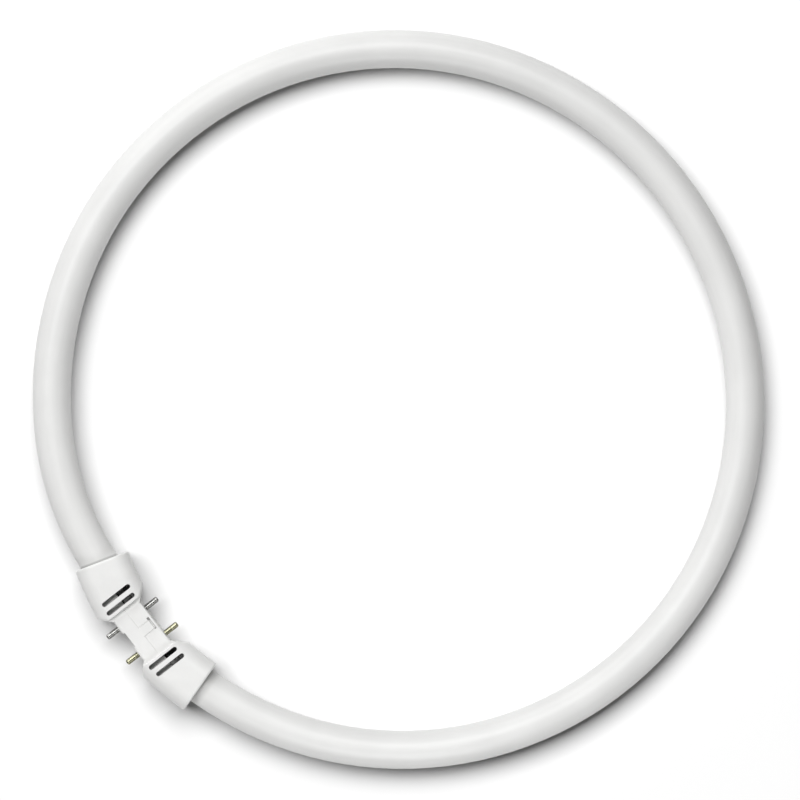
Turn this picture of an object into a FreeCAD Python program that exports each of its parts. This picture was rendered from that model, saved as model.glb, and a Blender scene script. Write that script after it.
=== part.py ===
"""Ring fluorescent lamp with a four-pin cap, in millimetres.

The ring's axis is Z and its centre, in the plane of the tube, is the origin.
The cap lies along X on the -Y side, with its pins pointing along +Y and -Y.
"""

import math
import os

import FreeCAD
import Part

# Ring tube
RING_OUTER_DIAMETER = 299.0
RING_OVAL = 1.1
RING_OVAL_DEG = -13.3
TUBE_DIAMETER = 15.5
END_BEND_START_DEG = 236.9
LEFT_END_RISE = 2.85
TUBE_END_REACH = 22.5
TUBE_END_ROUNDING = 2.4
TUBE_END_STRAIGHT = 0.4
EXHAUST_TIP_DIAMETER = 3.4
EXHAUST_TIP_LENGTH = 3.0
EXHAUST_TIP_ROUNDING = 1.3

# Cap on the ring
CAP_SIDE_SHIFT = 10.0
CAP_INSET = 1.4

# Cap collars
RIM_HALF_SPAN = 32.5
RIM_RISE = 4.5
RIM_TILT_DEG = 17.0
COLLAR_SIDE_ROOM = 3.65
COLLAR_TOP_ROOM = 2.85
COLLAR_CORNER = 7.0
COLLAR_FOOT = 10.0
STEP_SETBACK = 1.6
STEP_HEIGHT = 2.0
RIM_ROUNDING = 0.9
CORNER_ROUNDING = 1.6
STEP_ROUNDING = 0.4

# Cap bridge
BRIDGE_WIDTH = 13.4
BRIDGE_CORNER = 0.9

# Moulding walls
WALL = 1.3
END_WALL = 1.9
RIM_RECESS_DEPTH = 0.6
RIM_RECESS_WIDTH = 0.5
LIP_HEIGHT = 1.0
LIP_THICKNESS = 0.6
LIP_CLEARANCE = 0.06

# Vent slots
SLOT_SETBACK = 2.3
SLOT_PITCH = 3.9
SLOT_COUNT = 2
SLOT_WIDTH = 1.9
SLOT_LENGTH = 13.9
BAFFLE_DEPTH = 3.6
BAFFLE_THICKNESS = 1.0
BAFFLE_MARGIN = 0.4
BAFFLE_EDGE = 0.2

# Bridge top, snap catch and keyway
TOP_STEP_DEPTH = 0.3
TOP_STEP_LINE = -0.2
LATCH_CENTRE = 0.2
LATCH_WIDTH = 4.4
GROOVE_WIDTH = 0.4
GROOVE_DEPTH = 0.5
FINE_GROOVE_WIDTH = 0.2
FINE_GROOVE_DEPTH = 0.36
WINDOW_WIDTH = 0.8
WINDOW_RIGHT_ROOM = 0.15
NOTCH_WIDTH = 0.2
NOTCH_LENGTH = 1.0
NOTCH_DEPTH = 1.1
LEDGE_WIDTH = 0.35
LEDGE_DEPTH = 0.8
ARM_THICKNESS = 1.0
ARM_GAP = 0.12
KEYWAY_LENGTH = 7.0
KEYWAY_DEPTH = 0.9
KEYWAY_CENTRE = -0.2
KEYWAY_MARGIN = 0.8

# Contact pins
PIN_SPACING = 13.0
PIN_DIAMETER = 2.35
PIN_REACH = 6.35
PIN_TIP_ROUNDING = 0.7
PIN_NECK_DEPTH = 0.25
PIN_FLANGE_RIM = 0.525
PIN_FLANGE_THICKNESS = 0.8
PIN_GAP = 0.15

# Lead wires
LEAD_DIAMETER = 0.6
LEAD_SPREAD = 3.2
LEAD_STRAIGHT = 1.8
LEAD_BEND_RADIUS = 1.2
LEAD_TURN_ROOM = 2.2
LEAD_SEAL_DEPTH = 3.0
LEAD_PIN_DEPTH = 4.0

# Sizes that follow from the ones above
TUBE_RADIUS = TUBE_DIAMETER / 2.0
RING_RADIUS = RING_OUTER_DIAMETER / 2.0 - TUBE_RADIUS
TUBE_END_LENGTH = TUBE_END_ROUNDING + TUBE_END_STRAIGHT
COLLAR_HALF_WIDTH = TUBE_RADIUS + COLLAR_SIDE_ROOM
COLLAR_TOP = TUBE_RADIUS + COLLAR_TOP_ROOM
STEP_HALF_SPAN = COLLAR_FOOT + STEP_SETBACK
BRIDGE_HALF = BRIDGE_WIDTH / 2.0
BRIDGE_TOP = COLLAR_TOP - STEP_HEIGHT
INNER_FACE = BRIDGE_HALF - WALL
FLANGE_FACE = INNER_FACE - PIN_FLANGE_THICKNESS
PIN_NECK_DIAMETER = PIN_DIAMETER - 2.0 * PIN_NECK_DEPTH
PIN_FLANGE_DIAMETER = PIN_DIAMETER + 2.0 * PIN_FLANGE_RIM
CAP_X = CAP_SIDE_SHIFT
CAP_Y = CAP_INSET - math.sqrt(RING_RADIUS ** 2 - CAP_SIDE_SHIFT ** 2)
FAR = 2.0 * RIM_HALF_SPAN
SLOT_FLOOR = COLLAR_TOP - WALL - BAFFLE_DEPTH

# Smallest corner and flat of a rounded section, and how near counts as the same place
SMALLEST_CORNER = 0.15
SMALLEST_FLAT = 0.05
SAME_PLACE = 0.001
SMALLEST_TURN = 0.01

Vector = FreeCAD.Vector
UP = Vector(0, 0, 1)


def cap_point(u, v, z=0.0):
    """A point in the cap's own frame, u along the bridge and v towards the ring's centre."""
    return Vector(CAP_X + u, CAP_Y + v, z)


def on_circle(centre, radius, degrees, z=0.0):
    angle = math.radians(degrees)
    return centre + Vector(radius * math.cos(angle), radius * math.sin(angle), z)


def tangent(degrees):
    angle = math.radians(degrees)
    return Vector(-math.sin(angle), math.cos(angle), 0)


def box(low, high):
    """A block between two corners given in the cap's frame."""
    size = [b - a for a, b in zip(low, high)]
    return Part.makeBox(size[0], size[1], size[2], cap_point(*low))


def prism(points, low, high):
    """An upright prism over a closed outline given in the cap's frame."""
    loop = [cap_point(u, v, low) for u, v in points]
    face = Part.Face(Part.makePolygon(loop + loop[:1]))
    return face.extrude(Vector(0, 0, high - low))


def rounded_section(origin, across, half_width, half_height, corner):
    """A rounded rectangle face, its width along the unit vector given and its height along Z."""
    largest = min(half_width, half_height) - SMALLEST_FLAT
    corner = max(SMALLEST_CORNER, min(corner, largest))
    corners = [(1, 1, 0), (-1, 1, 90), (-1, -1, 180), (1, -1, 270)]
    edges = []
    ends = []
    for sx, sz, start in corners:
        centre = (sx * (half_width - corner), sz * (half_height - corner))
        arc = []
        for turn in (0, 45, 90):
            angle = math.radians(start + turn)
            x = centre[0] + corner * math.cos(angle)
            z = centre[1] + corner * math.sin(angle)
            arc.append(origin + across * x + UP * z)
        ends.append(arc)
    for index, arc in enumerate(ends):
        edges.append(Part.Arc(*arc).toShape())
        following = ends[(index + 1) % 4][0]
        if (following - arc[2]).Length > SAME_PLACE:
            edges.append(Part.makeLine(arc[2], following))
    return Part.Face(Part.Wire(edges))


def tube_arc(centre, radius, start, stop, thickness):
    """A round bar of the thickness given, bent about a centre from one angle to another."""
    origin = on_circle(centre, radius, start)
    ring = Part.Wire(Part.makeCircle(thickness, origin, tangent(start)))
    return Part.Face(ring).revolve(centre, UP, stop - start)


def round_edge(shape, centre):
    """The closed edges of a shape that lie around the centre given."""
    return [e for e in shape.Edges if e.Closed and (e.CenterOfMass - centre).Length < SAME_PLACE]


# Path of the tube: a slight oval of four arcs, then a bend of its own into the left collar
RING_CENTRE = Vector(0, 0, 0)
OVAL_SHIFT = 2.0 * RING_OVAL / (2.0 - math.sqrt(2.0))


def oval_arc(quarter):
    """The centre and radius of an arc of the oval; even quarters lie on its long axis."""
    degrees = RING_OVAL_DEG + 90.0 * quarter
    if quarter % 2 == 0:
        return on_circle(RING_CENTRE, OVAL_SHIFT, degrees), RING_RADIUS + RING_OVAL - OVAL_SHIFT
    return on_circle(RING_CENTRE, -OVAL_SHIFT, degrees), RING_RADIUS - RING_OVAL + OVAL_SHIFT


def oval_joint(quarter):
    """The angle at which an arc of the oval starts."""
    return RING_OVAL_DEG + 90.0 * quarter - 45.0


CAP_QUARTER = 3
CAP_ARC_CENTRE, CAP_ARC_RADIUS = oval_arc(CAP_QUARTER)
RIGHT_END_COSINE = (CAP_X + TUBE_END_REACH - CAP_ARC_CENTRE.x) / CAP_ARC_RADIUS
RIGHT_END_DEG = -math.degrees(math.acos(RIGHT_END_COSINE))
BEND_START = on_circle(CAP_ARC_CENTRE, CAP_ARC_RADIUS, END_BEND_START_DEG)
BEND_INWARD = on_circle(RING_CENTRE, -1.0, END_BEND_START_DEG)
BEND_REACH = cap_point(-TUBE_END_REACH, LEFT_END_RISE) - BEND_START
BEND_RADIUS = BEND_REACH.dot(BEND_REACH) / (2.0 * BEND_REACH.dot(BEND_INWARD))
BEND_CENTRE = BEND_START + BEND_INWARD * BEND_RADIUS
BEND_FINISH = BEND_START + BEND_REACH - BEND_CENTRE
LEFT_END_DEG = 360.0 + math.degrees(math.atan2(BEND_FINISH.y, BEND_FINISH.x))


def tube_path(thickness):
    """The bent tube, as a bar of the radius given."""
    bar = tube_arc(CAP_ARC_CENTRE, CAP_ARC_RADIUS, RIGHT_END_DEG, oval_joint(0), thickness)
    arcs = [oval_arc(q) + (oval_joint(q), oval_joint(q + 1)) for q in range(CAP_QUARTER)]
    arcs.append((CAP_ARC_CENTRE, CAP_ARC_RADIUS, oval_joint(CAP_QUARTER), END_BEND_START_DEG))
    arcs.append((BEND_CENTRE, BEND_RADIUS, END_BEND_START_DEG, LEFT_END_DEG))
    return bar.fuse([tube_arc(*arc, thickness) for arc in arcs])


def tube_end(side):
    """The middle of a tube end and the direction the end faces."""
    if side > 0:
        return on_circle(CAP_ARC_CENTRE, CAP_ARC_RADIUS, RIGHT_END_DEG), tangent(RIGHT_END_DEG) * -1
    return on_circle(BEND_CENTRE, BEND_RADIUS, LEFT_END_DEG), tangent(LEFT_END_DEG)


def end_dome(side):
    """The closed end of the tube with its rounded shoulder and sealed exhaust tip."""
    middle, facing = tube_end(side)
    dome = Part.makeCylinder(TUBE_RADIUS, TUBE_END_LENGTH, middle, facing)
    outer = middle + facing * TUBE_END_LENGTH
    dome = dome.makeFillet(TUBE_END_ROUNDING, round_edge(dome, outer))
    radius = EXHAUST_TIP_DIAMETER / 2.0
    tip = Part.makeCylinder(radius, EXHAUST_TIP_LENGTH + radius, outer - facing * radius, facing)
    crown = round_edge(tip, outer + facing * EXHAUST_TIP_LENGTH)
    tip = tip.makeFillet(min(EXHAUST_TIP_ROUNDING, radius - SMALLEST_FLAT), crown)
    return dome.fuse(tip)


# Cap form
def collar_centre(sign):
    tilt = math.radians(RIM_TILT_DEG)
    u = sign * (RIM_HALF_SPAN - RING_RADIUS * math.sin(tilt))
    return cap_point(u, RIM_RISE + RING_RADIUS * math.cos(tilt))


def collar_line(sign, u):
    """Where the middle line of a collar lies, across the cap, at a place along it."""
    centre = collar_centre(sign)
    away = CAP_X + sign * u - centre.x
    return centre.y - math.sqrt(RING_RADIUS ** 2 - away ** 2) - CAP_Y


def collar(sign, inset, end_inset):
    centre = collar_centre(sign)
    start = -90.0 + sign * (RIM_TILT_DEG - math.degrees(end_inset / RING_RADIUS))
    sweep = math.degrees((RIM_HALF_SPAN - COLLAR_FOOT / 2.0) / RING_RADIUS)
    angle = math.radians(start)
    across = Vector(math.cos(angle), math.sin(angle), 0)
    face = rounded_section(
        on_circle(centre, RING_RADIUS, start),
        across,
        COLLAR_HALF_WIDTH - inset,
        COLLAR_TOP - inset,
        COLLAR_CORNER - inset,
    )
    bar = face.revolve(centre, UP, -sign * sweep)
    edge = COLLAR_FOOT - BRIDGE_HALF + inset * math.sqrt(2.0)
    foot = COLLAR_FOOT + inset
    near, wide = foot - edge, FAR - edge
    outline = [(foot, -near), (FAR, -wide), (FAR, wide), (foot, near)]
    trim = prism([(sign * u, v) for u, v in outline], -FAR, FAR)
    return bar.common(trim)


def bridge(inset):
    half = STEP_HALF_SPAN + STEP_SETBACK
    face = rounded_section(
        cap_point(-half, 0),
        Vector(0, 1, 0),
        BRIDGE_HALF - inset,
        BRIDGE_TOP - inset,
        BRIDGE_CORNER - inset,
    )
    return face.extrude(Vector(2 * half, 0, 0))


def cap_form(inset, end_inset):
    """The outside of the whole cap, moved inwards by an inset, and by another at the rims."""
    form = bridge(inset).fuse([collar(s, inset, end_inset) for s in (-1, 1)])
    span = STEP_HALF_SPAN + inset
    level = BRIDGE_TOP - inset
    above = box((-span, -FAR, level), (span, FAR, FAR))
    below = box((-span, -FAR, -FAR), (span, FAR, -level))
    return form.cut([above, below]).removeSplitter()


def rim_edges(form):
    """The edges around the two rims, where the collars end on the tube."""
    found = []
    for sign in (-1, 1):
        centre = collar_centre(sign)
        angle = -90.0 + sign * RIM_TILT_DEG
        middle = on_circle(centre, RING_RADIUS, angle)
        normal = tangent(angle)
        for edge in form.Edges:
            points = edge.discretize(5)
            if all(abs((p - middle).dot(normal)) < SAME_PLACE for p in points):
                found.append(edge)
    return found


def corner_edges(form):
    """The edges where the slanted corners of the collars meet their rounded flanks."""
    found = []
    for edge in form.Edges:
        points = [p - cap_point(0, 0) for p in edge.discretize(7)]
        offset = COLLAR_FOOT - BRIDGE_HALF
        slanted = all(abs(abs(p.x) - abs(p.y) - offset) < SAME_PLACE for p in points)
        outside_step = all(abs(p.x) > STEP_HALF_SPAN - SAME_PLACE for p in points)
        on_step = all(abs(p.x) < STEP_HALF_SPAN + SAME_PLACE for p in points)
        if slanted and outside_step and not on_step:
            found.append(edge)
    return found


def step_edges(form):
    """The upper and lower edges of the collar ends that stand over the bridge."""
    found = []
    for edge in form.Edges:
        points = [p - cap_point(0, 0) for p in edge.discretize(7)]
        on_step = all(abs(abs(p.x) - STEP_HALF_SPAN) < SAME_PLACE for p in points)
        if on_step and all(abs(p.z) > BRIDGE_TOP + SMALLEST_FLAT for p in points):
            found.append(edge)
    return found


def slot(sign, u, low, high):
    """A vent slot with round ends, running across a collar."""
    middle = collar_line(sign, u)
    reach = (SLOT_LENGTH - SLOT_WIDTH) / 2.0
    half = SLOT_WIDTH / 2.0
    body = box((sign * u - half, middle - reach, low), (sign * u + half, middle + reach, high))
    rounds = [
        Part.makeCylinder(half, high - low, cap_point(sign * u, middle + s * reach, low))
        for s in (-1, 1)
    ]
    return body.fuse(rounds)


def baffle(sign, inside):
    """The shelves that close the outer half of a collar's slots, a little way behind the walls."""
    last = STEP_HALF_SPAN + SLOT_SETBACK + (SLOT_COUNT - 1) * SLOT_PITCH
    reach = last + SLOT_WIDTH / 2.0 + BAFFLE_MARGIN
    edge = collar_line(sign, last) + BAFFLE_EDGE
    high = COLLAR_TOP - WALL - BAFFLE_DEPTH
    low = high - BAFFLE_THICKNESS
    ends = sorted((sign * COLLAR_FOOT, sign * reach))
    shelf = box((ends[0], -FAR, low), (ends[1], edge, high))
    mirrored = box((ends[0], -FAR, -high), (ends[1], edge, -low))
    return shelf.fuse(mirrored).common(inside)


def pin_place(sign, side):
    """The middle of a pin's own line at the cap's middle, and the way the pin points."""
    return cap_point(sign * PIN_SPACING / 2.0, 0), Vector(0, side, 0)


def pin_bar(sign, side, diameter, start, stop):
    """A round bar on a pin's line, between two distances from the cap's middle."""
    origin, facing = pin_place(sign, side)
    return Part.makeCylinder(diameter / 2.0, stop - start, origin + facing * start, facing)


SIDES = [(sign, side) for side in (1, -1) for sign in (-1, 1)]


# Lead wires
def rounded_path(points, radius):
    """A wire through the points given, with each corner turned into an arc."""
    edges = []
    previous = points[0]
    for index in range(1, len(points) - 1):
        corner = points[index]
        before = (corner - points[index - 1]).normalize()
        after = (points[index + 1] - corner).normalize()
        half = before.getAngle(after) / 2.0
        if half < SMALLEST_TURN:
            continue
        bisector = (after - before).normalize()
        hub = corner + bisector * (radius / math.cos(half))
        first = corner - before * (radius * math.tan(half))
        second = corner + after * (radius * math.tan(half))
        edges.append(Part.makeLine(previous, first))
        edges.append(Part.Arc(first, hub - bisector * radius, second).toShape())
        previous = second
    edges.append(Part.makeLine(previous, points[-1]))
    return Part.Wire(edges)


def lead_wire(sign, side):
    """One lead, from its seal in the tube end round into the bore of its pin."""
    middle, facing = tube_end(sign)
    spread = Vector(-facing.y, facing.x, 0)
    if spread.y * side < 0:
        spread = spread * -1
    leaving = middle + facing * TUBE_END_LENGTH + spread * LEAD_SPREAD
    origin, out = pin_place(sign, side)
    points = [
        leaving - facing * LEAD_SEAL_DEPTH,
        leaving + facing * LEAD_STRAIGHT,
        origin + out * (FLANGE_FACE - LEAD_TURN_ROOM),
        origin + out * (FLANGE_FACE + LEAD_PIN_DEPTH),
    ]
    profile = Part.Wire(Part.makeCircle(LEAD_DIAMETER / 2.0, points[0], facing))
    return rounded_path(points, LEAD_BEND_RADIUS).makePipeShell([profile], True, False)


def contact_pin(sign, side):
    """A turned pin: rounded tip, neck held by the wall, flange behind the wall."""
    origin, out = pin_place(sign, side)
    tip = BRIDGE_HALF + PIN_REACH
    shank = pin_bar(sign, side, PIN_DIAMETER, BRIDGE_HALF, tip)
    crown = round_edge(shank, origin + out * tip)
    shank = shank.makeFillet(min(PIN_TIP_ROUNDING, PIN_DIAMETER / 2.0 - SMALLEST_FLAT), crown)
    neck = pin_bar(sign, side, PIN_NECK_DIAMETER, FLANGE_FACE, tip - PIN_REACH / 2.0)
    flange = pin_bar(sign, side, PIN_FLANGE_DIAMETER, FLANGE_FACE, INNER_FACE)
    return shank.fuse([neck, flange])


def cap_outside():
    """The cap's outer form with its moulded edges rounded."""
    form = cap_form(0.0, 0.0)
    form = form.makeFillet(CORNER_ROUNDING, corner_edges(form))
    form = form.makeFillet(STEP_ROUNDING, step_edges(form))
    return form.makeFillet(RIM_ROUNDING, rim_edges(form))


def keyway():
    """The shallow key recess in the outer side of the bridge, and the wall set back behind it."""
    half = KEYWAY_LENGTH / 2.0
    low, high = KEYWAY_CENTRE - half, KEYWAY_CENTRE + half
    recess = box((low, -FAR, -FAR), (high, KEYWAY_DEPTH - BRIDGE_HALF, FAR))
    backing = box(
        (low - KEYWAY_MARGIN, -BRIDGE_HALF + WALL / 2.0, -BRIDGE_TOP + WALL / 2.0),
        (high + KEYWAY_MARGIN, -INNER_FACE + KEYWAY_DEPTH, BRIDGE_TOP - WALL / 2.0),
    )
    return recess, backing


def lip_joint(inside, clear):
    """The lip that rises from the lower moulding, and the rebate for it in the upper one."""
    inset, end_inset = WALL - LIP_THICKNESS, END_WALL - LIP_THICKNESS
    height = box((-FAR, -FAR, 0.0), (FAR, FAR, LIP_HEIGHT))
    lip = cap_form(inset, end_inset).cut(inside).common(height).cut(clear)
    room = LIP_CLEARANCE
    height = box((-FAR, -FAR, 0.0), (FAR, FAR, LIP_HEIGHT + room))
    rebate = cap_form(inset - room, end_inset - room).cut(inside).common(height)
    return lip, rebate


def bridge_top_cuts():
    """The step along the bridge, the latch outline and the catch window."""
    left = LATCH_CENTRE - LATCH_WIDTH / 2.0
    right = LATCH_CENTRE + LATCH_WIDTH / 2.0
    far = INNER_FACE + LEDGE_WIDTH
    near = far - WINDOW_WIDTH
    step = box(
        (-STEP_HALF_SPAN, TOP_STEP_LINE, BRIDGE_TOP - TOP_STEP_DEPTH),
        (STEP_HALF_SPAN, FAR, BRIDGE_TOP + STEP_HEIGHT / 2.0),
    )
    step = step.cut(box((left, TOP_STEP_LINE, 0.0), (right, near, FAR)))
    groove = box(
        (left, TOP_STEP_LINE, BRIDGE_TOP - GROOVE_DEPTH),
        (left + GROOVE_WIDTH, near, FAR),
    )
    fine_groove = box(
        (right - FINE_GROOVE_WIDTH, TOP_STEP_LINE, BRIDGE_TOP - FINE_GROOVE_DEPTH),
        (right, near, FAR),
    )
    ledge = BRIDGE_TOP - WALL - LEDGE_DEPTH
    window = box((left, near, ledge), (right + WINDOW_RIGHT_ROOM, far, FAR))
    notch = box((left - NOTCH_LENGTH, near - NOTCH_WIDTH, BRIDGE_TOP - NOTCH_DEPTH), (left, far, FAR))
    return [step, groove, fine_groove, window, notch]


def snap_arm():
    """The arm of the lower moulding, its nose over the ledge below the catch window."""
    left = LATCH_CENTRE - LATCH_WIDTH / 2.0 + ARM_GAP
    right = LATCH_CENTRE + LATCH_WIDTH / 2.0 - ARM_GAP
    back = INNER_FACE - ARM_GAP
    top = BRIDGE_TOP - WALL - ARM_GAP
    ledge = BRIDGE_TOP - WALL - LEDGE_DEPTH
    arm = box((left, back - ARM_THICKNESS, -BRIDGE_TOP + WALL / 2.0), (right, back, top))
    nose = box((left, back, ledge + LIP_CLEARANCE), (right, back + LEDGE_WIDTH, top))
    return arm.fuse(nose)


# Assembly of the nodes
leads = {place: lead_wire(*place) for place in SIDES}
pins = {place: contact_pin(*place).cut(leads[place]) for place in SIDES}
tube = tube_path(TUBE_RADIUS).fuse([end_dome(1), end_dome(-1)]).cut(list(leads.values()))

outside = cap_outside()
inside = cap_form(WALL, END_WALL)
rim_recess = tube_path(TUBE_RADIUS + RIM_RECESS_WIDTH)
rim_cut = rim_recess.common(outside.cut(cap_form(0.0, RIM_RECESS_DEPTH)))
key_recess, key_backing = keyway()
necks = [pin_bar(s, d, PIN_NECK_DIAMETER, INNER_FACE, BRIDGE_HALF) for s, d in SIDES]
flange_room = [
    pin_bar(s, d, PIN_FLANGE_DIAMETER + 2.0 * PIN_GAP, FLANGE_FACE - PIN_GAP, INNER_FACE)
    for s, d in SIDES
]
pin_room = [pin_bar(s, d, PIN_DIAMETER + 2.0 * PIN_GAP, FLANGE_FACE, BRIDGE_HALF) for s, d in SIDES]
baffles = [baffle(sign, inside) for sign in (-1, 1)]
shell = outside.cut(inside).fuse([key_backing.cut(flange_room)] + baffles)
shell = shell.cut([tube_path(TUBE_RADIUS), rim_cut, key_recess] + necks)
lip, rebate = lip_joint(inside, [rim_recess, key_backing, key_recess] + flange_room + pin_room)
first_slot = STEP_HALF_SPAN + SLOT_SETBACK
slot_places = [(s, first_slot + i * SLOT_PITCH) for s in (-1, 1) for i in range(SLOT_COUNT)]

upper = shell.common(box((-FAR, -FAR, 0.0), (FAR, FAR, FAR)))
upper = upper.cut([slot(s, u, SLOT_FLOOR, FAR) for s, u in slot_places])
upper = upper.cut([rebate.cut(key_backing)] + bridge_top_cuts())
lower = shell.common(box((-FAR, -FAR, -FAR), (FAR, FAR, 0.0)))
lower = lower.cut([slot(s, u, -FAR, -SLOT_FLOOR) for s, u in slot_places])
lower = lower.fuse([lip, snap_arm().cut(flange_room)])

nodes = {
    "discharge_tube": tube,
    "cap_upper_shell": upper,
    "cap_lower_shell": lower,
}
WORDS = {1: "inner", -1: "outer"}
HANDS = {1: "right", -1: "left"}
for (sign, side), pin in pins.items():
    nodes[f"contact_pin_{WORDS[side]}_{HANDS[sign]}"] = pin
for (sign, side), lead in leads.items():
    nodes[f"lead_wire_{WORDS[side]}_{HANDS[sign]}"] = lead

os.makedirs("parts", exist_ok=True)
for name, shape in nodes.items():
    if len(shape.Solids) != 1 or not shape.isValid():
        raise ValueError(f"{name}: {len(shape.Solids)} solids, valid {shape.isValid()}")
    solid = shape.Solids[0]
    solid.exportStep(f"parts/{name}.step")
    print(f"{name}: {solid.Volume:.1f} mm3")
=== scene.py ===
"""Looks of a ring-shaped fluorescent lamp: coated glass, a moulded cap and turned pins in a white studio."""

import math

import bpy
from bpy.props import FloatProperty, FloatVectorProperty, PointerProperty
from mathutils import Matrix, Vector
from mathutils.bvhtree import BVHTree


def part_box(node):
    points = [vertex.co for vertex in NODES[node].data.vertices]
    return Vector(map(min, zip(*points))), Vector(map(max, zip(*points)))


bl_info = {
    "name": "Ring lamp looks",
    "version": (1, 0, 0),
    "blender": (4, 5, 0),
    "location": "3D View > Sidebar > Ring Lamp",
    "description": "Finishes the pieces of a ring-shaped fluorescent lamp and sets up its studio",
    "category": "Object",
}

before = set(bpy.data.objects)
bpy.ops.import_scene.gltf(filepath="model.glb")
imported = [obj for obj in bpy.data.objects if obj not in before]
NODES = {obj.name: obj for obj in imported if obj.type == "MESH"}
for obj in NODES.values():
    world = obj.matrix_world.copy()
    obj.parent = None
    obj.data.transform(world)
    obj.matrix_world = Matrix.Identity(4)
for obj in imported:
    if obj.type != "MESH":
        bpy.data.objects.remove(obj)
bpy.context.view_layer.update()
TUBE_LOW, TUBE_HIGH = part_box("discharge_tube")
TUBE_RADIUS = (TUBE_HIGH.z - TUBE_LOW.z) / 2.0
RING_RADIUS = (TUBE_HIGH.x - TUBE_LOW.x) / 2.0 - TUBE_RADIUS
SHELLS = ("cap_upper_shell", "cap_lower_shell")

# Middle of each rim of the cap, the way the rim faces, and the distances from the rim over which the painted
# shade on the tube fades out: a wide painted shadow of the collar at the first rim, thin painted shade in
# the gap at the second
RIMS = (
    (Vector((0.0425, -0.1355, 0.0)), Vector((0.956, 0.292, 0.0)), 0.0008, 0.0045),
    (Vector((-0.0225, -0.1355, 0.0)), Vector((-0.956, 0.292, 0.0)), 0.0003, 0.0012),
)
# Height of the shelves behind the vent slots, and how near to it still counts as a shelf
SHELF_HEIGHT = 0.0057
SHELF_ROOM = 0.0001
# Middle of the floor of the notch beside the catch, and how far from it the painted shade in the notch
# starts to fade and ends
NOTCH_PLACE = Vector((0.0075, -0.1348, 0.0075))
NOTCH_FADE = 0.0004
NOTCH_END = 0.001

# Rays that tell whether a face lies inside the cap, and the share of them that has to meet the cap
RAY_COUNT = 24
RAY_LIFT = 0.00005
RAY_REACH = 0.06
CLOSED_SHARE = 0.85
GOLDEN_TURN = math.pi * (3.0 - math.sqrt(5.0))

# How far from the middle line a point lies that the floor may touch, and how often the touch is refined
TOUCH_SIDE = 0.05
TOUCH_ROUNDS = 6

# Colours of the painted shade by the rims and in the notch, of the painted shade inside the cap, of the
# hidden wires and of the floor
RIM_PAINTED_SHADE = (0.6, 0.6, 0.59, 1.0)
NOTCH_PAINTED_SHADE = (0.4, 0.4, 0.392, 1.0)
INSIDE_PAINTED_SHADE_BLACK = (0.012, 0.012, 0.0115, 1.0)
INSIDE_PAINTED_SHADE_GREY = (0.03, 0.029, 0.0275, 1.0)
WIRE_BRIGHT = (0.6, 0.59, 0.57, 1.0)
WIRE_DULL = (0.4, 0.38, 0.35, 1.0)
PAPER_DARK = (0.43, 0.43, 0.427, 1.0)
PAPER_LIGHT = (0.44, 0.44, 0.438, 1.0)
FLOOR_WHITE = (0.81, 0.81, 0.81, 1.0)
SKY_WHITE = (1.0, 1.0, 1.0, 1.0)


# Sizes and colours that a user would change
class LampFinishes(bpy.types.PropertyGroup):
    """Colours and surface finish of the lamp's pieces."""

    glass_colour: FloatVectorProperty(
        name="Glass colour",
        description="Colour of the coated glass",
        subtype="COLOR",
        default=(0.85, 0.85, 0.84),
        min=0.0,
        max=1.0,
    )
    coat_grain: FloatProperty(
        name="Coat grain",
        description="How much the white coat varies in tone",
        default=0.03,
        min=0.0,
        max=0.2,
        subtype="FACTOR",
    )
    cap_colour: FloatVectorProperty(
        name="Cap colour",
        description="Colour of the moulded cap",
        subtype="COLOR",
        default=(0.88, 0.88, 0.868),
        min=0.0,
        max=1.0,
    )
    cap_grain: FloatProperty(
        name="Cap grain",
        description="Size of the fine grain on the moulded cap",
        default=0.00035,
        min=0.0001,
        max=0.002,
        subtype="DISTANCE",
        unit="LENGTH",
    )
    edge_rounding: FloatProperty(
        name="Edge rounding",
        description="Radius that the moulded edges are softened by",
        default=0.00015,
        min=0.0,
        max=0.001,
        subtype="DISTANCE",
        unit="LENGTH",
    )
    brass_colour: FloatVectorProperty(
        name="Brass colour",
        description="Colour of the bare brass pins",
        subtype="COLOR",
        default=(0.37, 0.362, 0.25),
        min=0.0,
        max=1.0,
    )
    tin_colour: FloatVectorProperty(
        name="Tin colour",
        description="Colour of the tinned pins",
        subtype="COLOR",
        default=(0.36, 0.36, 0.35),
        min=0.0,
        max=1.0,
    )
    turning_pitch: FloatProperty(
        name="Turning pitch",
        description="Spacing of the turning marks on the pins",
        default=0.00012,
        min=0.00005,
        max=0.001,
        subtype="DISTANCE",
        unit="LENGTH",
    )


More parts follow.
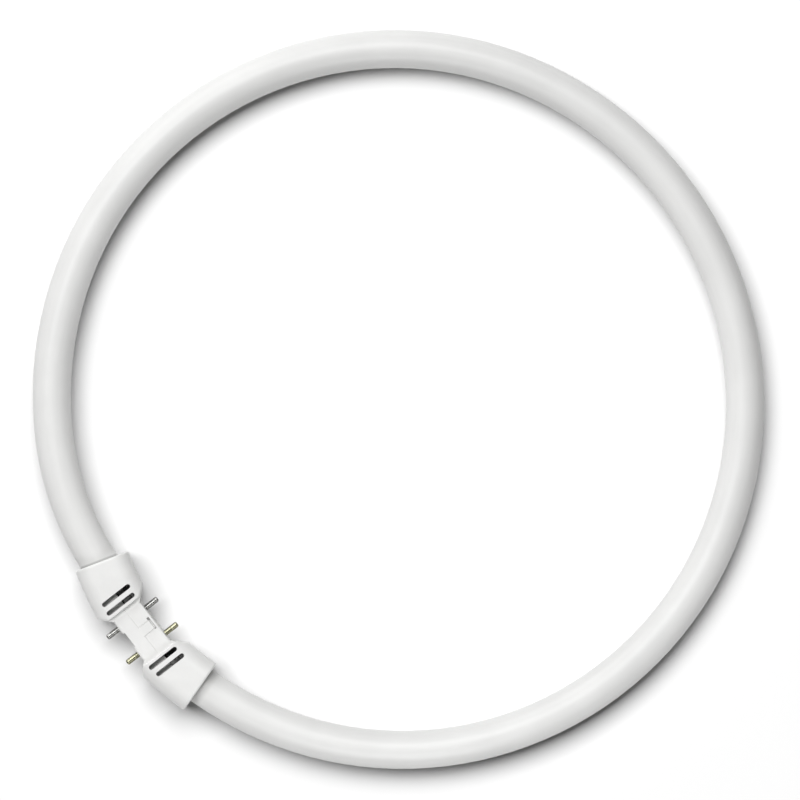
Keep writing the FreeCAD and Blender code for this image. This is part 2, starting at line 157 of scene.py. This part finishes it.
class LampStudio(bpy.types.PropertyGroup):
    """The camera, lights and floor."""

    camera_place: FloatVectorProperty(
        name="Camera place",
        description="Where the camera stands over the ring",
        subtype="XYZ",
        default=(0.00057, 0.00033, 3.0),
    )
    camera_turn: FloatProperty(
        name="Camera turn",
        description="Turn of the camera about the ring's axis",
        default=math.radians(52.0),
        subtype="ANGLE",
        unit="ROTATION",
    )
    camera_angle: FloatProperty(
        name="Camera angle",
        description="Field of view",
        default=math.radians(6.207),
        subtype="ANGLE",
        unit="ROTATION",
    )
    key_place: FloatVectorProperty(
        name="Key place",
        description="Where the wide soft lamp hangs",
        subtype="XYZ",
        default=(-2.093, 0.294, 4.532),
    )
    key_size: FloatVectorProperty(
        name="Key size",
        description="Width and height of the wide soft lamp",
        size=2,
        default=(4.4, 2.2),
        min=0.05,
        unit="LENGTH",
    )
    key_power: FloatProperty(
        name="Key power",
        description="Power of the wide soft lamp",
        default=165.0,
        min=0.0,
        subtype="POWER",
        unit="POWER",
    )
    side_place: FloatVectorProperty(
        name="Side place",
        description="Where the low left lamp hangs",
        subtype="XYZ",
        default=(-1.363, 0.143, 0.610),
    )
    side_size: FloatVectorProperty(
        name="Side size",
        description="Width and height of the low left lamp",
        size=2,
        default=(0.8, 0.8),
        min=0.05,
        unit="LENGTH",
    )
    side_power: FloatProperty(
        name="Side power",
        description="Power of the low left lamp",
        default=9.4,
        min=0.0,
        subtype="POWER",
        unit="POWER",
    )
    front_place: FloatVectorProperty(
        name="Front place",
        description="Where the low near lamp hangs",
        subtype="XYZ",
        default=(0.453, -0.354, 0.482),
    )
    front_size: FloatVectorProperty(
        name="Front size",
        description="Width and height of the low near lamp",
        size=2,
        default=(0.35, 0.35),
        min=0.05,
        unit="LENGTH",
    )
    front_power: FloatProperty(
        name="Front power",
        description="Power of the low near lamp",
        default=1.8,
        min=0.0,
        subtype="POWER",
        unit="POWER",
    )
    far_place: FloatVectorProperty(
        name="Far place",
        description="Where the low right lamp hangs",
        subtype="XYZ",
        default=(1.285, 0.320, 0.704),
    )
    far_size: FloatVectorProperty(
        name="Far size",
        description="Width and height of the low right lamp",
        size=2,
        default=(0.8, 0.8),
        min=0.05,
        unit="LENGTH",
    )
    far_power: FloatProperty(
        name="Far power",
        description="Power of the low right lamp",
        default=2.0,
        min=0.0,
        subtype="POWER",
        unit="POWER",
    )
    over_place: FloatVectorProperty(
        name="Over place",
        description="Where the broad lamp over the floor hangs",
        subtype="XYZ",
        default=(-3.222, 0.453, 7.308),
    )
    over_size: FloatVectorProperty(
        name="Over size",
        description="Width and height of the broad lamp over the floor",
        size=2,
        default=(8.6, 4.9),
        min=0.05,
        unit="LENGTH",
    )
    over_power: FloatProperty(
        name="Over power",
        description="Power of the broad lamp over the floor",
        default=1060.0,
        min=0.0,
        subtype="POWER",
        unit="POWER",
    )
    sky_level: FloatProperty(
        name="Sky level",
        description="Even light from all round",
        default=0.03,
        min=0.0,
        max=1.0,
        subtype="FACTOR",
    )
    floor_size: FloatProperty(
        name="Floor size",
        description="Side of the floor",
        default=14.0,
        min=1.0,
        subtype="DISTANCE",
        unit="LENGTH",
    )


# Shader maths
class Value:
    """A shader value that sums can be written with: each operator adds one Math node."""

    def __init__(self, tree, socket):
        self.tree = tree
        self.socket = socket

    def __add__(self, other):
        return self.tree.maths("ADD", self, other)

    def __radd__(self, other):
        return self.tree.maths("ADD", other, self)

    def __sub__(self, other):
        return self.tree.maths("SUBTRACT", self, other)

    def __rsub__(self, other):
        return self.tree.maths("SUBTRACT", other, self)

    def __mul__(self, other):
        return self.tree.maths("MULTIPLY", self, other)

    def __rmul__(self, other):
        return self.tree.maths("MULTIPLY", other, self)

    def __pow__(self, other):
        return self.tree.maths("POWER", self, other)

    def __rpow__(self, other):
        return self.tree.maths("POWER", other, self)


class Tree:
    """A node tree that is filled by one call for each node."""

    def __init__(self, owner):
        owner.use_nodes = True
        self.nodes = owner.node_tree.nodes
        self.links = owner.node_tree.links
        self.nodes.clear()

    def node(self, kind, settings=None, inputs=None, output=0):
        """Adds a node of that type with its settings, then the values or links of its sockets."""
        made = self.nodes.new(kind)
        for name, setting in (settings or {}).items():
            setattr(made, name, setting)
        for name, value in (inputs or {}).items():
            socket = made.inputs[name]
            if isinstance(value, Value):
                self.links.new(value.socket, socket)
            else:
                socket.default_value = value
        if not made.outputs:
            return None
        return Value(self, made.outputs[output])

    def maths(self, operation, first, second):
        return self.node("ShaderNodeMath", {"operation": operation}, {0: first, 1: second})

    def place(self):
        """Where a point lies in the lamp's own frame."""
        return self.node("ShaderNodeTexCoord", output="Object")

    def axes(self, vector):
        return [self.node("ShaderNodeSeparateXYZ", {}, {0: vector}, output=i) for i in range(3)]

    def vector(self, x, y, z):
        return self.node("ShaderNodeCombineXYZ", {}, {0: x, 1: y, 2: z})

    def distance(self, first, second):
        settings = {"operation": "DISTANCE"}
        return self.node("ShaderNodeVectorMath", settings, {0: first, 1: second}, output="Value")

    def noise(self, vector, scale, detail, roughness):
        values = {"Vector": vector, "Scale": scale, "Detail": detail, "Roughness": roughness}
        return self.node("ShaderNodeTexNoise", {}, values)

    def spread(self, value, low, high, to_low=0.0, to_high=1.0):
        """A value taken smoothly from one range to another."""
        values = {0: value, 1: low, 2: high, 3: to_low, 4: to_high}
        return self.node("ShaderNodeMapRange", {"interpolation_type": "SMOOTHSTEP"}, values)

    def blend(self, factor, first, second):
        """A colour between two colours."""
        settings = {"data_type": "RGBA"}
        return self.node("ShaderNodeMix", settings, {0: factor, 6: first, 7: second}, output=2)

    def bump(self, height, distance, normal=None):
        values = {"Strength": 1.0, "Distance": distance, "Height": height}
        if normal is not None:
            values["Normal"] = normal
        return self.node("ShaderNodeBump", {}, values)

    def surface(self, inputs):
        shader = self.node("ShaderNodeBsdfPrincipled", {}, inputs)
        self.node("ShaderNodeOutputMaterial", {}, {"Surface": shader})


def shade(colour, level):
    """A colour made lighter or darker, with full alpha."""
    return tuple(min(1.0, c * level) for c in colour) + (1.0,)


def finish_named(name):
    material = bpy.data.materials.new(name)
    return material, Tree(material)


def put_on(node, material):
    """Gives a carried node its finish."""
    mesh = NODES[node].data
    mesh.materials.clear()
    mesh.materials.append(material)
    mesh.shade_smooth()


# Finishes
def coated_glass(finishes):
    """Clear glass over a white coat that varies a little in tone, with painted shade on the tube next to the
    cap's rims.
    """
    material, tree = finish_named("coated_glass")
    x, y, z = tree.axes(tree.place())
    turn = tree.maths("ARCTAN2", x, y) * RING_RADIUS
    away = (x * x + y * y) ** 0.5 - RING_RADIUS
    stretch = 0.06
    streak_share = 0.35
    along = tree.vector(turn * stretch, away, z)
    streaks = tree.noise(along, scale=420.0, detail=3.0, roughness=0.55)
    cloud = tree.noise(tree.place(), scale=45.0, detail=3.0, roughness=0.5)
    tone = streaks * streak_share + cloud * (1.0 - streak_share)
    grain = finishes.coat_grain
    coat = tree.blend(
        tree.spread(tone, low=0.3, high=0.7),
        shade(finishes.glass_colour, 1.0 - grain),
        shade(finishes.glass_colour, 1.0 + grain),
    )
    # Painted shade on the tube by each rim, greyer nearer the rim: the collar's painted shadow at one rim,
    # painted shade in the gap at the other; coated is one where none is painted
    right, left = [
        tree.spread((x - rim.x) * facing.x + (y - rim.y) * facing.y, low=starts, high=full)
        for rim, facing, starts, full in RIMS
    ]
    coated = tree.maths("MAXIMUM", right, left)
    tree.surface(
        {
            "Base Color": tree.blend(coated, RIM_PAINTED_SHADE, coat),
            "Roughness": tree.spread(streaks, low=0.2, high=0.8, to_low=0.34, to_high=0.46),
            "IOR": 1.5,
            "Specular IOR Level": 0.2,
            "Coat Weight": 0.3,
            "Coat Roughness": 0.3,
            "Coat IOR": 1.5,
        }
    )
    return material


def moulded_plastic(finishes):
    """White satin plastic with a fine eroded grain, softened edges and painted shade in the notch by the
    catch.
    """
    material, tree = finish_named("cap_plastic")
    place = tree.place()
    grain = tree.noise(place, scale=1.0 / finishes.cap_grain, detail=3.0, roughness=0.6)
    flow = tree.noise(place, scale=120.0, detail=3.0, roughness=0.5)
    white = tree.blend(
        tree.spread(flow, low=0.3, high=0.7),
        shade(finishes.cap_colour, 0.975),
        shade(finishes.cap_colour, 1.02),
    )
    # Painted shade: the floor of the notch beside the catch is greyed, fading out with distance from it
    clear_of_notch_shade = tree.spread(tree.distance(place, NOTCH_PLACE), low=NOTCH_FADE, high=NOTCH_END)
    soft = tree.node("ShaderNodeBevel", {"samples": 6}, {"Radius": finishes.edge_rounding})
    tree.surface(
        {
            "Base Color": tree.blend(clear_of_notch_shade, NOTCH_PAINTED_SHADE, white),
            "Roughness": 0.27 + tree.spread(grain, low=0.3, high=0.7) * 0.08 + flow * 0.05,
            "Normal": tree.bump(grain, distance=0.000012, normal=soft),
            "IOR": 1.49,
        }
    )
    return material


def painted_inside_shade():
    """Painted shade for the inside of the cap: a near-black colour, so that the vent slots show black."""
    material, tree = finish_named("cap_inside")
    specks = tree.noise(tree.place(), scale=260.0, detail=3.0, roughness=0.6)
    # Near-black painted shade with a faint random mottle
    inside_shade_mottle = tree.spread(specks, low=0.3, high=0.7)
    tree.surface(
        {
            "Base Color": tree.blend(inside_shade_mottle, INSIDE_PAINTED_SHADE_BLACK, INSIDE_PAINTED_SHADE_GREY),
            "Roughness": 0.7 + inside_shade_mottle * 0.15,
        }
    )
    return material


def closed_in(tree, point, normal):
    """Whether nearly every way out from a point of the cap meets the cap again."""
    across = normal.orthogonal().normalized()
    along = normal.cross(across)
    start = point + normal * RAY_LIFT
    met = 0
    for index in range(RAY_COUNT):
        rise = (index + 0.5) / RAY_COUNT
        spread = math.sqrt(1.0 - rise * rise)
        turn = index * GOLDEN_TURN
        way = normal * rise + (across * math.cos(turn) + along * math.sin(turn)) * spread
        if tree.ray_cast(start, way, RAY_REACH)[0] is not None:
            met += 1
    return met > CLOSED_SHARE * RAY_COUNT


def paint_shade_inside(material):
    """Gives the faces inside the cap the painted-shade finish, apart from the shelves behind the slots."""
    corners = []
    faces = []
    for node in SHELLS + ("discharge_tube",):
        mesh = NODES[node].data
        start = len(corners)
        corners += [v.co.copy() for v in mesh.vertices]
        faces += [[start + i for i in face.vertices] for face in mesh.polygons]
    tree = BVHTree.FromPolygons(corners, faces)
    for node in SHELLS:
        mesh = NODES[node].data
        mesh.materials.append(material)
        for face in mesh.polygons:
            outward = face.normal.z * face.center.z > 0.0
            shown = outward and abs(face.center.z) > SHELF_HEIGHT - SHELF_ROOM
            # Faces that the cap closes in, found by casting rays, get the near-black painted shade
            if not shown and closed_in(tree, face.center, face.normal):
                face.material_index = 1


def turned_metal(name, colour, finishes):
    """Turned metal with fine rings around it and a dull bloom."""
    material, tree = finish_named(name)
    place = tree.place()
    x, y, z = tree.axes(place)
    stretch = 0.02
    around = tree.vector(x * stretch, y, z * stretch)
    rings = tree.noise(around, scale=1.0 / finishes.turning_pitch, detail=2.0, roughness=0.6)
    bloom = tree.noise(place, scale=900.0, detail=4.0, roughness=0.6)
    dull = tree.spread(bloom, low=0.4, high=0.68)
    tree.surface(
        {
            "Base Color": tree.blend(dull, shade(colour, 1.0), shade(colour, 0.62)),
            "Metallic": 1.0,
            "Roughness": 0.14 + dull * 0.14 + rings * 0.1,
            "Normal": tree.bump(rings, distance=0.000012),
        }
    )
    return material


def drawn_wire():
    """Dull drawn wire."""
    material, tree = finish_named("lead_metal")
    stain = tree.noise(tree.place(), scale=700.0, detail=3.0, roughness=0.6)
    dull = tree.spread(stain, low=0.35, high=0.7)
    tree.surface(
        {
            "Base Color": tree.blend(dull, WIRE_BRIGHT, WIRE_DULL),
            "Metallic": 1.0,
            "Roughness": 0.28 + dull * 0.22,
            "Normal": tree.bump(stain, distance=0.00001),
        }
    )
    return material


# Pieces
class RINGLAMP_OT_tube(bpy.types.Operator):
    """Finish the coated glass tube"""

    bl_idname = "ringlamp.tube"
    bl_label = "Glass tube"

    def execute(self, context):
        put_on("discharge_tube", coated_glass(context.scene.ring_lamp_finishes))
        return {"FINISHED"}


class RINGLAMP_OT_cap(bpy.types.Operator):
    """Finish the two mouldings of the cap"""

    bl_idname = "ringlamp.cap"
    bl_label = "Moulded cap"

    def execute(self, context):
        material = moulded_plastic(context.scene.ring_lamp_finishes)
        for node in SHELLS:
            put_on(node, material)
        # Painted shade: the faces inside the cap are made near-black
        paint_shade_inside(painted_inside_shade())
        return {"FINISHED"}


class RINGLAMP_OT_pins(bpy.types.Operator):
    """Finish the four contact pins"""

    bl_idname = "ringlamp.pins"
    bl_label = "Contact pins"

    def execute(self, context):
        finishes = context.scene.ring_lamp_finishes
        brass = turned_metal("pin_brass", finishes.brass_colour, finishes)
        tinned = turned_metal("pin_tinned", finishes.tin_colour, finishes)
        for side in ("inner", "outer"):
            put_on(f"contact_pin_{side}_left", tinned)
            put_on(f"contact_pin_{side}_right", brass)
        return {"FINISHED"}


class RINGLAMP_OT_leads(bpy.types.Operator):
    """Finish the four lead wires inside the cap"""

    bl_idname = "ringlamp.leads"
    bl_label = "Lead wires"

    def execute(self, context):
        wire = drawn_wire()
        for node in NODES:
            if node.startswith("lead_wire"):
                put_on(node, wire)
        return {"FINISHED"}


# Studio
def resting_slope():
    """The line, across the ring, of a floor that carries the cap at one side and the tube at the other."""
    points = [(v.co.y, v.co.z) for node in NODES.values() for v in node.data.vertices]
    near = min(points, key=lambda p: p[1])
    far = near
    for _ in range(TOUCH_ROUNDS):
        far = min(
            (p for p in points if p[0] > TOUCH_SIDE),
            key=lambda p: (p[1] - near[1]) / (p[0] - near[0]),
        )
        near = max(
            (p for p in points if p[0] < -TOUCH_SIDE),
            key=lambda p: (far[1] - p[1]) / (far[0] - p[0]),
        )
    slope = (far[1] - near[1]) / (far[0] - near[0])
    return slope, near[1] - slope * near[0]


def floor_finish():
    """A white floor that keeps the lamp's shadow."""
    material, tree = finish_named("studio_floor")
    mottle = tree.noise(tree.place(), scale=9.0, detail=2.0, roughness=0.5)
    paper = tree.blend(mottle, PAPER_DARK, PAPER_LIGHT)
    matte = tree.node("ShaderNodeBsdfDiffuse", {}, {"Color": paper})
    white = tree.node("ShaderNodeBsdfDiffuse", {}, {"Color": FLOOR_WHITE})
    mixed = tree.node("ShaderNodeMixShader", {}, {0: seen_straight(tree), 1: matte, 2: white})
    tree.node("ShaderNodeOutputMaterial", {}, {"Surface": mixed})
    return material


def seen_straight(tree):
    """One for what the camera sees, straight or in a reflection."""
    rays = ("Is Camera Ray", "Is Glossy Ray", "Is Transmission Ray")
    first, second, third = [tree.node("ShaderNodeLightPath", output=ray) for ray in rays]
    return tree.maths("MAXIMUM", tree.maths("MAXIMUM", first, second), third)


class RINGLAMP_OT_studio(bpy.types.Operator):
    """Set up the floor, the lights and the camera"""

    bl_idname = "ringlamp.studio"
    bl_label = "Studio"

    def execute(self, context):
        studio = context.scene.ring_lamp_studio
        floor = self.make_floor(context, studio)
        self.make_lights(context, studio, floor)
        self.make_camera(context, studio)
        context.scene.view_settings.view_transform = "Standard"
        return {"FINISHED"}

    def make_floor(self, context, studio):
        slope, level = resting_slope()
        half = studio.floor_size / 2.0
        corners = [(-half, -half), (half, -half), (half, half), (-half, half)]
        mesh = bpy.data.meshes.new("studio_floor")
        mesh.from_pydata([(x, y, level + slope * y) for x, y in corners], [], [(0, 1, 2, 3)])
        mesh.materials.append(floor_finish())
        floor = bpy.data.objects.new("studio_floor", mesh)
        context.collection.objects.link(floor)
        return floor

    def make_lights(self, context, studio, floor):
        """Lamps for the pieces, and one for the floor that gives the shadow."""
        pieces = bpy.data.collections.new("lamp_pieces")
        for node in NODES.values():
            pieces.objects.link(node)
        ground = bpy.data.collections.new("studio_ground")
        ground.objects.link(floor)
        for name in ("key", "side", "front", "far", "over"):
            lamp = self.soft_lamp(
                f"{name}_light",
                getattr(studio, f"{name}_size"),
                getattr(studio, f"{name}_power"),
            )
            hung = self.hang(context, lamp, getattr(studio, f"{name}_place"))
            hung.light_linking.receiver_collection = ground if name == "over" else pieces
        world = bpy.data.worlds.new("studio_sky")
        tree = Tree(world)
        values = {"Color": SKY_WHITE, "Strength": studio.sky_level}
        sky = tree.node("ShaderNodeBackground", {}, values)
        tree.node("ShaderNodeOutputWorld", {}, {"Surface": sky})
        context.scene.world = world

    def soft_lamp(self, name, size, power):
        lamp = bpy.data.lights.new(name, "AREA")
        lamp.shape = "RECTANGLE"
        lamp.size, lamp.size_y = size
        lamp.energy = power
        return lamp

    def hang(self, context, lamp, place):
        """Hangs a lamp so that it faces the middle of the ring."""
        hung = bpy.data.objects.new(lamp.name, lamp)
        hung.location = place
        hung.rotation_mode = "QUATERNION"
        hung.rotation_quaternion = (-Vector(place)).to_track_quat("-Z", "Y")
        context.collection.objects.link(hung)
        return hung

    def make_camera(self, context, studio):
        data = bpy.data.cameras.new("camera")
        data.angle = studio.camera_angle
        data.clip_start = 0.05
        camera = bpy.data.objects.new("camera", data)
        camera.location = studio.camera_place
        camera.rotation_euler = (0.0, 0.0, studio.camera_turn)
        context.collection.objects.link(camera)
        context.scene.camera = camera


class RINGLAMP_PT_panel(bpy.types.Panel):
    """The lamp's pieces and studio in the sidebar"""

    bl_idname = "RINGLAMP_PT_panel"
    bl_label = "Ring Lamp"
    bl_space_type = "VIEW_3D"
    bl_region_type = "UI"
    bl_category = "Ring Lamp"

    def draw(self, context):
        for operator in OPERATORS:
            self.layout.operator(operator.bl_idname)
        for group in (context.scene.ring_lamp_finishes, context.scene.ring_lamp_studio):
            column = self.layout.column()
            for name in group.__annotations__:
                column.prop(group, name)


GROUPS = (LampFinishes, LampStudio)
OPERATORS = (
    RINGLAMP_OT_studio,
    RINGLAMP_OT_tube,
    RINGLAMP_OT_cap,
    RINGLAMP_OT_pins,
    RINGLAMP_OT_leads,
)
CLASSES = GROUPS + OPERATORS + (RINGLAMP_PT_panel,)


def register():
    for made in CLASSES:
        bpy.utils.register_class(made)
    bpy.types.Scene.ring_lamp_finishes = PointerProperty(type=LampFinishes)
    bpy.types.Scene.ring_lamp_studio = PointerProperty(type=LampStudio)


def unregister():
    del bpy.types.Scene.ring_lamp_studio
    del bpy.types.Scene.ring_lamp_finishes
    for made in reversed(CLASSES):
        bpy.utils.unregister_class(made)


def main():
    register()
    bpy.ops.ringlamp.studio()
    bpy.ops.ringlamp.tube()
    bpy.ops.ringlamp.cap()
    bpy.ops.ringlamp.pins()
    bpy.ops.ringlamp.leads()


if __name__ == "__main__":
    main()
